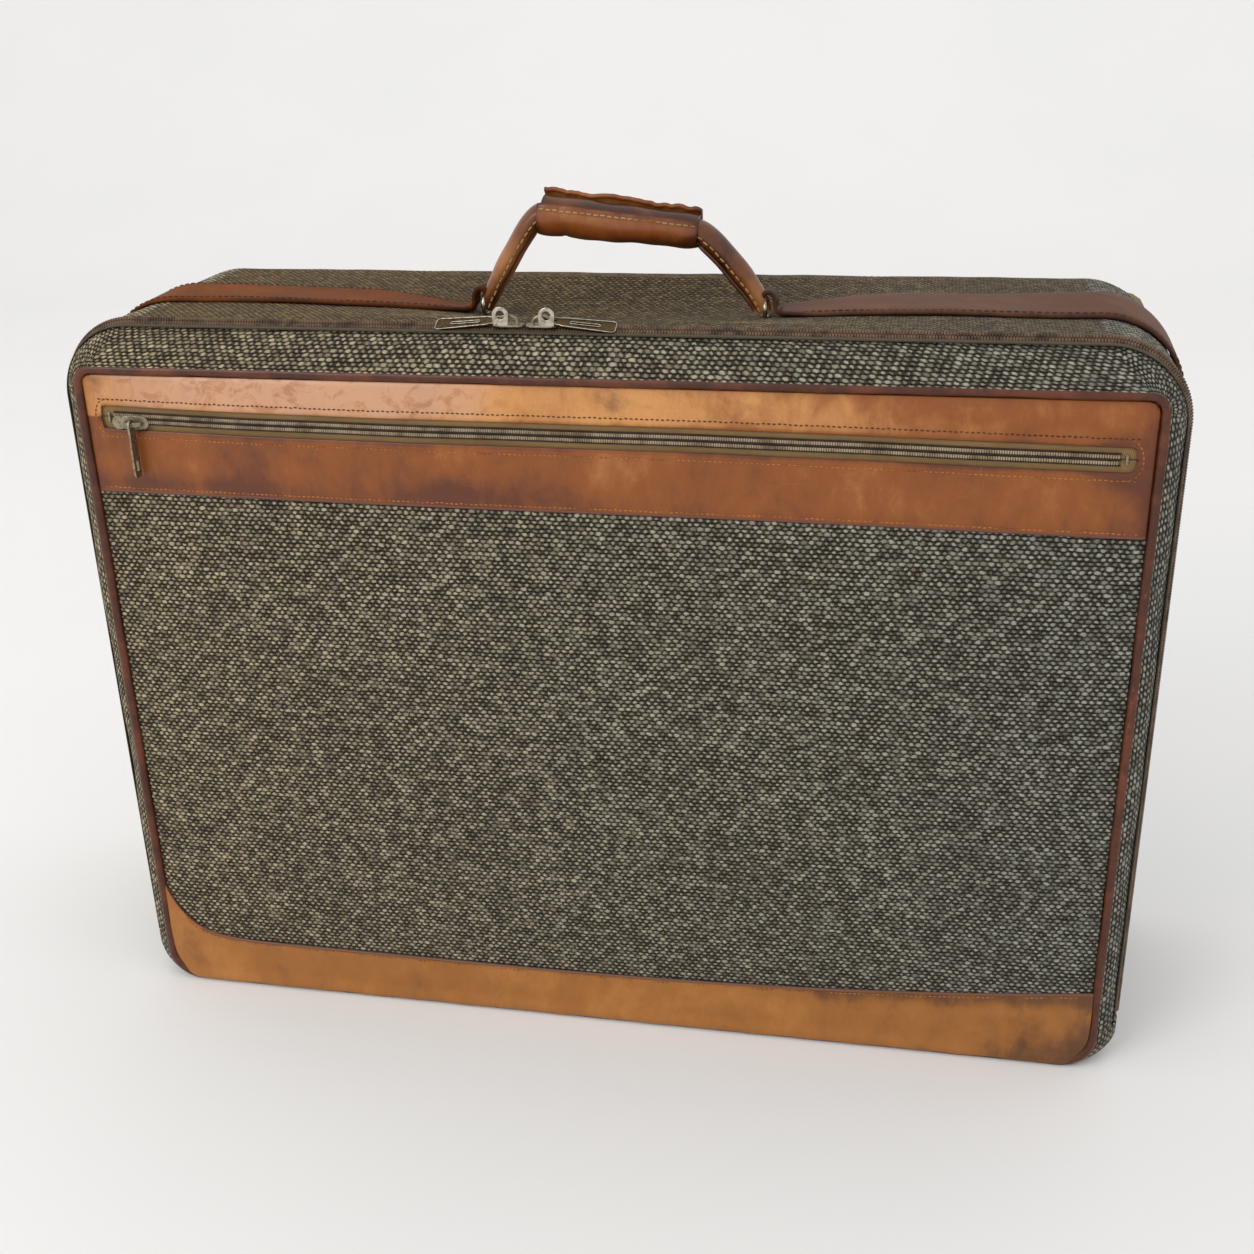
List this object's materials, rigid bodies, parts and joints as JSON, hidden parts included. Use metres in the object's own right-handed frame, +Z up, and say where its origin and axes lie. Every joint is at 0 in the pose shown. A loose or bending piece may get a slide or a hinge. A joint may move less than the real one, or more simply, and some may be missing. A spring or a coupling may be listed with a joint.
{
  "type": "softside suitcase",
  "caption": "Tweed and leather softside suitcase on a hooped frame, with a zipped hinged front, front zip pocket, leather straps and a rolled leather handle.",
  "frame": {"origin": "on the floor, under the centre of the case", "axes": "+Z up, the front panel faces -Y, +X to the right of someone looking at the front"},
  "size_m": [0.6662, 0.1951, 0.5336],
  "materials": {
    "tweed": "woven",
    "leather_tan": "satin",
    "leather_dark": "satin",
    "frame_steel": "satin",
    "fibre_board": "matte",
    "lining": "matte",
    "padding": "matte",
    "zip_tape": "woven",
    "zip_coil": "satin",
    "zip_metal": "worn"
  },
  "bodies": {
    "case": {"body_gusset": "tweed", "top_gusset": "tweed", "hinge_gusset": "tweed", "side_board": "fibre_board", "front_hoop": "frame_steel", "rear_hoop": "frame_steel", "back_board": "fibre_board", "back_panel": "tweed", "back_welt": "leather_dark", "body_lining": "lining", "top_lining": "lining", "top_stiffener": "fibre_board", "strap_left": "leather_tan", "strap_right": "leather_tan", "body_zip_tape": "zip_tape", "body_zip_coil": "zip_coil", "zip_end_stops": "zip_metal", "tie_strap_left": "leather_dark", "tie_strap_right": "leather_dark", "tie_buckle": "zip_metal"},
    "lid": {"lid_gusset": "tweed", "lid_welt": "leather_dark", "lid_board": "fibre_board", "lid_padding": "padding", "front_tweed": "tweed", "top_band": "leather_tan", "base_band": "leather_tan", "lid_lining": "lining", "lid_zip_tape": "zip_tape", "lid_zip_coil": "zip_coil", "pocket_lining": "lining", "pocket_tape_upper": "zip_tape", "pocket_tape_lower": "zip_tape", "pocket_coil_upper": "zip_coil", "pocket_coil_lower": "zip_coil", "pocket_zip_stops": "zip_metal"},
    "handle": {"handle_strap": "leather_tan", "grip_wrap": "leather_tan", "handle_flaps": "leather_tan", "ring_left": "zip_metal", "ring_right": "zip_metal", "ring_loop_left": "leather_tan", "ring_loop_right": "leather_tan"},
    "left_slider": {"slider_left": "zip_metal"},
    "left_pull": {"pull_left": "zip_metal"},
    "right_slider": {"slider_right": "zip_metal"},
    "right_pull": {"pull_right": "zip_metal"},
    "pocket_slide": {"pocket_slider": "zip_metal"},
    "pocket_pull_tab": {"pocket_pull": "zip_metal"}
  },
  "joints": [
    {"name": "lid_hinge", "type": "hinge", "parent": "case", "child": "lid", "pos_m": [0, -0.0858, 0.003], "axis": [1, 0, 0], "range_deg": [0, 88]},
    {"name": "handle_swing", "type": "hinge", "parent": "case", "child": "handle", "pos_m": [0.004, 0.0047, 0.467], "axis": [1, 0, 0], "range_deg": [-70, 70]},
    {"name": "left_slider_run", "type": "slide", "parent": "case", "child": "left_slider", "axis": [-1, 0, 0], "range_m": [0, 0.212]},
    {"name": "right_slider_run", "type": "slide", "parent": "case", "child": "right_slider", "axis": [1, 0, 0], "range_m": [0, 0.288]},
    {"name": "left_pull_lift", "type": "hinge", "parent": "left_slider", "child": "left_pull", "pos_m": [-0.05, -0.0713, 0.4715], "axis": [0, 1, 0], "range_deg": [0, 120]},
    {"name": "right_pull_lift", "type": "hinge", "parent": "right_slider", "child": "right_pull", "pos_m": [-0.026, -0.0713, 0.4715], "axis": [0, -1, 0], "range_deg": [0, 120]},
    {"name": "pocket_slider_run", "type": "slide", "parent": "lid", "child": "pocket_slide", "axis": [1, 0, 0], "range_m": [0, 0.561]},
    {"name": "pocket_pull_swing", "type": "hinge", "parent": "pocket_slide", "child": "pocket_pull_tab", "pos_m": [-0.2805, -0.0934, 0.409], "axis": [-1, 0, 0], "range_deg": [0, 150]}
  ]
}
